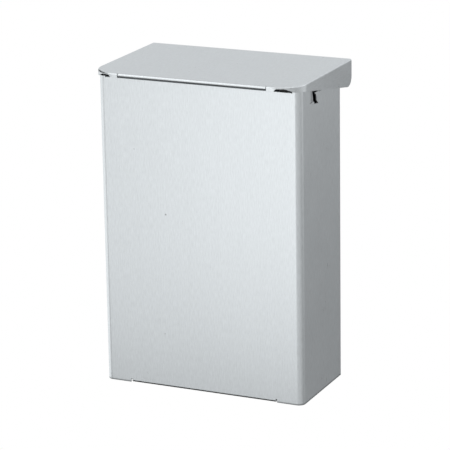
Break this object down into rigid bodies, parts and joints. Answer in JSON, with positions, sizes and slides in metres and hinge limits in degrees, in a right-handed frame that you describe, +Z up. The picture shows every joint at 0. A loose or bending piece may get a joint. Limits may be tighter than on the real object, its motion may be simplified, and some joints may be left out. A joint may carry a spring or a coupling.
{
  "type": "wall-hung waste bin",
  "caption": "Slim wall-hung waste bin of folded stainless steel sheet with a self-closing flap lid on a rear hinge rod, hung on a hook bracket.",
  "frame": {"origin": "centre of the wall bracket's back face, on the wall", "axes": "+Z up, +Y into the wall, -Y towards the user, +X to the right for someone who looks at the bin"},
  "size_m": [0.2096, 0.1383, 0.3079],
  "materials": {
    "brushed_steel": "brushed along one direction, satin",
    "plain_steel": "plain mill finish",
    "black_rubber": "matt black rubber",
    "nylon": "natural white nylon"
  },
  "bodies": {
    "bracket": {"wall_bracket": "plain_steel"},
    "container": {"container_shell": "brushed_steel", "rear_panel": "brushed_steel", "floor_pan": "brushed_steel", "hanging_rail": "plain_steel", "rear_spacer": "plain_steel", "spacer_pad_left": "black_rubber", "spacer_pad_right": "black_rubber", "hinge_lug_left": "plain_steel", "hinge_lug_right": "plain_steel", "hinge_bush_left": "nylon", "hinge_bush_right": "nylon"},
    "lid": {"lid_panel": "brushed_steel", "hinge_rod": "plain_steel", "lid_ear_left": "plain_steel", "lid_ear_right": "plain_steel", "push_nut_left": "plain_steel", "push_nut_right": "plain_steel", "lid_bumper_left": "black_rubber", "lid_bumper_right": "black_rubber"}
  },
  "joints": [
    {"name": "container_lift", "type": "slide", "parent": "bracket", "child": "container", "axis": [0, 0, 1], "range_m": [0, 0.06]},
    {"name": "lid_hinge", "type": "hinge", "parent": "container", "child": "lid", "pos_m": [0, -0.0178, 0.0446], "axis": [-1, 0, 0], "range_deg": [0, 85]}
  ]
}
